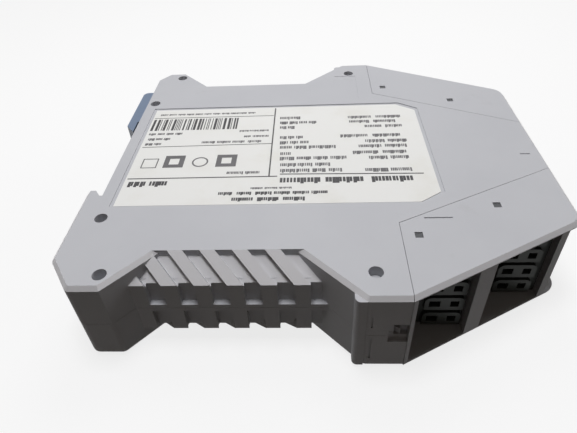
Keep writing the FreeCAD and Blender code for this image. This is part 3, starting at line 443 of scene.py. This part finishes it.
printed_rows("label_small_print", SMALL_ROWS, {"Stroke Pitch": 0.31, "Stroke Width": 0.78, "Ink": grey_ink})
printed_rows("label_bold_print", BOLD_ROWS, {"Stroke Pitch": 0.36, "Stroke Width": 0.84, "Ink": dark_ink})


# %% [markdown]
# ### Ruled lines, bars and marks
#
# The ruled lines run a little askew, as on a label that was stuck on by hand. They, the bars and
# the plain marks are few, so a short function lays each as a flat strip of ink.

# %% Lines, bars, squares and ring
def flat_piece(name, outlines, ink):
    """Thin slabs of ink over closed outlines given in label millimetres."""
    places, faces = [], []
    for corners in outlines:
        first = len(places)
        count = len(corners)
        for lift in (0.0, INK_THICK):
            places += [on_label(across, up) + Vector((0, 0, lift)) for across, up in corners]
        faces.append(tuple(range(first, first + count)))
        faces.append(tuple(range(first + 2 * count - 1, first + count - 1, -1)))
        for index in range(count):
            following = (index + 1) % count
            faces.append((first + index, first + count + index,
                          first + count + following, first + following))
    mesh = bpy.data.meshes.new(name)
    mesh.from_pydata(places, [], faces)
    mesh.materials.append(ink)
    piece = bpy.data.objects.new(name, mesh)
    bpy.context.scene.collection.objects.link(piece)
    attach(piece, "housing")
    print(name, "outlines:", len(outlines))


def line(start, end, wide):
    """A ruled line from start to end as an outline."""
    along = (Vector(end) - Vector(start)).normalized() * wide / 2
    side = Vector((-along.y, along.x))
    return [Vector(start) - side, Vector(end) - side, Vector(end) + side, Vector(start) + side]


def ring(centre, radii, corners, turn=0.0):
    """Quads that make a closed ring of straight runs round a centre."""
    inner, outer = radii
    spots = [turn + 2 * math.pi * index / corners for index in range(corners + 1)]
    places = [[Vector(centre) + Vector((math.cos(angle), math.sin(angle))) * radius for angle in spots]
              for radius in (inner, outer)]
    return [[places[0][index], places[0][index + 1], places[1][index + 1], places[1][index]]
            for index in range(corners)]


THIN, BOLD = 0.22, 0.34
rules = [line((7.7, -17.35), (42.7, -17.35), THIN), line((43.05, -21.5), (43.05, 11.7), BOLD),
         line((7.9, -2.3), (43.0, -2.8), THIN), line((7.8, 11.65), (45.1, 11.65), BOLD),
         line((45.7, 10.8), (80.4, 11.5), BOLD)]
flat_piece("label_rules", rules, dark_ink)

BAR_SEED = 11
BARS_START, BARS_END = 7.9, 32.8
BARS_LOW, BARS_HIGH = -16.6, -10.6
BAR_WIDTHS = (0.22, 0.22, 0.45, 0.68)
BAR_GAPS = (0.25, 0.25, 0.5, 0.6)
random.seed(BAR_SEED)
bars = []
place = BARS_START
while place < BARS_END:
    wide = random.choice(BAR_WIDTHS)
    bars.append([(place, BARS_LOW), (place + wide, BARS_LOW), (place + wide, BARS_HIGH), (place, BARS_HIGH)])
    place += wide + random.choice(BAR_GAPS)
flat_piece("label_bars", bars, dark_ink)

SQUARE, ROUND = 4, 32
marks = ring((11.8, 5.2), (2.5, 2.9), SQUARE, math.pi / 4)
marks += ring((18.1, 4.6), (1.8, 3.7), SQUARE, math.pi / 4)
marks += ring((24.9, 5.0), (1.7, 2.1), ROUND)
marks += ring((31.7, 4.6), (1.8, 3.7), SQUARE, math.pi / 4)
flat_piece("label_marks", marks, grey_ink)

# %% [markdown]
# ## Catches in the windows
#
# Both side plates of a carrier have square windows over the ends of its pin headers. What lies
# behind them is not known, so the catch here is a guess: a sloped tip that almost fills the
# window. Eight corners each are enough for so small a piece.

# %% Catches
def tips(name, spans, finish):
    """Sloped tips: each has its inner and outer corner and, last, the level of its near edge."""
    places, faces = [], []
    for low, high, near_level in spans:
        first = len(places)
        inner, outer = low[2], high[2]
        places += [(low[0], low[1], inner), (high[0], low[1], inner),
                   (high[0], high[1], inner), (low[0], high[1], inner),
                   (low[0], low[1], near_level), (high[0], low[1], near_level),
                   (high[0], high[1], outer), (low[0], high[1], outer)]
        sides = [(0, 3, 2, 1), (4, 5, 6, 7), (0, 1, 5, 4), (1, 2, 6, 5), (2, 3, 7, 6), (3, 0, 4, 7)]
        if outer < inner:
            sides = [tuple(reversed(side)) for side in sides]
        faces += [tuple(first + corner for corner in side) for side in sides]
    mesh = bpy.data.meshes.new(name)
    mesh.from_pydata(places, [], faces)
    mesh.materials.append(finish)
    piece = bpy.data.objects.new(name, mesh)
    bpy.context.scene.collection.objects.link(piece)
    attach(piece, "housing")
    print(name, "tips:", len(spans))


TIP_HALF = 0.8 * MM
TIP_SUNK = 0.25 * MM
TIP_SLOPE = 0.95 * MM
TIP_PLACES = [(20.75 * MM, 32.75 * MM), (39.25 * MM, 23.6 * MM)]
carrier_low, carrier_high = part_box("upper_terminal_carrier")
header_low, header_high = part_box("upper_rear_header")
spans = []
for across, reach in TIP_PLACES:
    for side in (-1, 1):
        near, far = side * reach - TIP_HALF, side * reach + TIP_HALF
        left, right = across - TIP_HALF, across + TIP_HALF
        top, bottom = carrier_high.z - TIP_SUNK, carrier_low.z + TIP_SUNK
        spans.append(((left, near, header_high.z), (right, far, top), top - TIP_SLOPE))
        spans.append(((left, near, header_low.z), (right, far, bottom), bottom + TIP_SLOPE))
catch_polyamide = moulded("catch_polyamide", "76787A", "6C6E70", roughness=0.5, gloss=0.3)
tips("header_catches", spans, catch_polyamide)

# %% [markdown]
# ## Camera, floor and light
#
# The relay is seen from above its upper end. The floor is white to the camera, in reflections and
# through clear pieces, but dark to scattered light, so that little of it comes back up and the
# upright walls stay in shade. The world is white to the camera and dim to all other rays.

# %% Camera
CAMERA_PLACE = Vector((-0.834, -107.379, 95.168)) * MM
RIGHT = Vector((0.998219, 0.033882, -0.049094))
UP = Vector((0.015873, 0.642477, 0.766141))
BACK = Vector((0.057499, -0.765557, 0.640795))
lens = bpy.data.cameras.new("camera")
lens.sensor_width = 36.0
lens.lens = 30.773
lens.shift_x = 0.0043
lens.shift_y = -0.0299
lens.clip_start = 0.005
camera = bpy.data.objects.new("camera", lens)
bpy.context.scene.collection.objects.link(camera)
turn = Matrix((RIGHT, UP, BACK)).transposed().to_4x4()
camera.matrix_world = Matrix.Translation(CAMERA_PLACE) @ turn
bpy.context.scene.camera = camera


# %% Floor
FLOOR_REACH = 3.0
GLOW_SHARE = 0.8


def floor_material():
    """White to camera, glossy and transmission rays, dark to the rest."""
    material = bpy.data.materials.new("studio_floor")
    material.use_nodes = True
    tree = material.node_tree
    tree.nodes.clear()
    rays = add(tree, "ShaderNodeLightPath").outputs
    seen = add(tree, "ShaderNodeMath", {"operation": "MAXIMUM"},
               links={0: rays["Is Camera Ray"], 1: rays["Is Glossy Ray"]})
    seen = add(tree, "ShaderNodeMath", {"operation": "MAXIMUM"},
               links={0: seen.outputs[0], 1: rays["Is Transmission Ray"]})
    dull = add(tree, "ShaderNodeBsdfDiffuse", values={"Color": linear("38332E")})
    pale = add(tree, "ShaderNodeBsdfDiffuse", values={"Color": linear("F4F4F4")})
    white = add(tree, "ShaderNodeEmission", values={"Color": linear("FFFFFF"), "Strength": 1.0})
    lit = add(tree, "ShaderNodeMixShader", values={0: GLOW_SHARE},
              links={1: pale.outputs[0], 2: white.outputs[0]})
    chosen = add(tree, "ShaderNodeMixShader",
                 links={0: seen.outputs[0], 1: dull.outputs[0], 2: lit.outputs[0]})
    add(tree, "ShaderNodeOutputMaterial", links={"Surface": chosen.outputs[0]})
    return material


floor_mesh = bpy.data.meshes.new("floor")
floor_mesh.from_pydata([(-FLOOR_REACH, -FLOOR_REACH, 0), (FLOOR_REACH, -FLOOR_REACH, 0),
                        (FLOOR_REACH, FLOOR_REACH, 0), (-FLOOR_REACH, FLOOR_REACH, 0)], [], [(0, 1, 2, 3)])
floor = bpy.data.objects.new("floor", floor_mesh)
floor_mesh.materials.append(floor_material())
bpy.context.scene.collection.objects.link(floor)

# %% World
world = bpy.data.worlds.new("studio")
bpy.context.scene.world = world
world.use_nodes = True
sky = world.node_tree
sky.nodes.clear()
paths = add(sky, "ShaderNodeLightPath").outputs
dim = add(sky, "ShaderNodeBackground", values={"Color": linear("FFEDDC"), "Strength": 0.062})
bright = add(sky, "ShaderNodeBackground", values={"Color": linear("FFFFFF"), "Strength": 1.0})
shown = add(sky, "ShaderNodeMixShader",
            links={0: paths["Is Camera Ray"], 1: dim.outputs[0], 2: bright.outputs[0]})
add(sky, "ShaderNodeOutputWorld", links={"Surface": shown.outputs[0]})


# %% Lamps
def softbox(name, place, aim, size, watts, colour):
    """A square lamp at place that faces aim."""
    light = bpy.data.lights.new(name, "AREA")
    light.shape = "SQUARE"
    light.size = size
    light.energy = watts
    light.color = linear(colour)[:3]
    lamp = bpy.data.objects.new(name, light)
    bpy.context.scene.collection.objects.link(lamp)
    lamp.visible_camera = False
    facing = (Vector(aim) - Vector(place)).to_track_quat("-Z", "Y")
    lamp.matrix_world = Matrix.Translation(place) @ facing.to_matrix().to_4x4()


softbox("overhead", (-0.03, -0.005, 0.45), (-0.03, 0, 0), 0.12, 1.04, "FBFCFF")
softbox("far_side", (0, 0.14, 0.24), (0, 0.04, 0), 0.14, 0.2, "FFFFFF")
softbox("left_window", (-0.45, 0.3, 0.2), (0, 0, 0), 0.3, 0.4, "FFFFFF")
softbox("right_window", (0.47, 0.3, 0.2), (0, 0, 0), 0.3, 0.75, "FFFFFF")

# %% [markdown]
# ## Finish
#
# The colours are shown as they are written, so the view transform is the plain one.

# %% View transform
bpy.context.scene.view_settings.view_transform = "Standard"
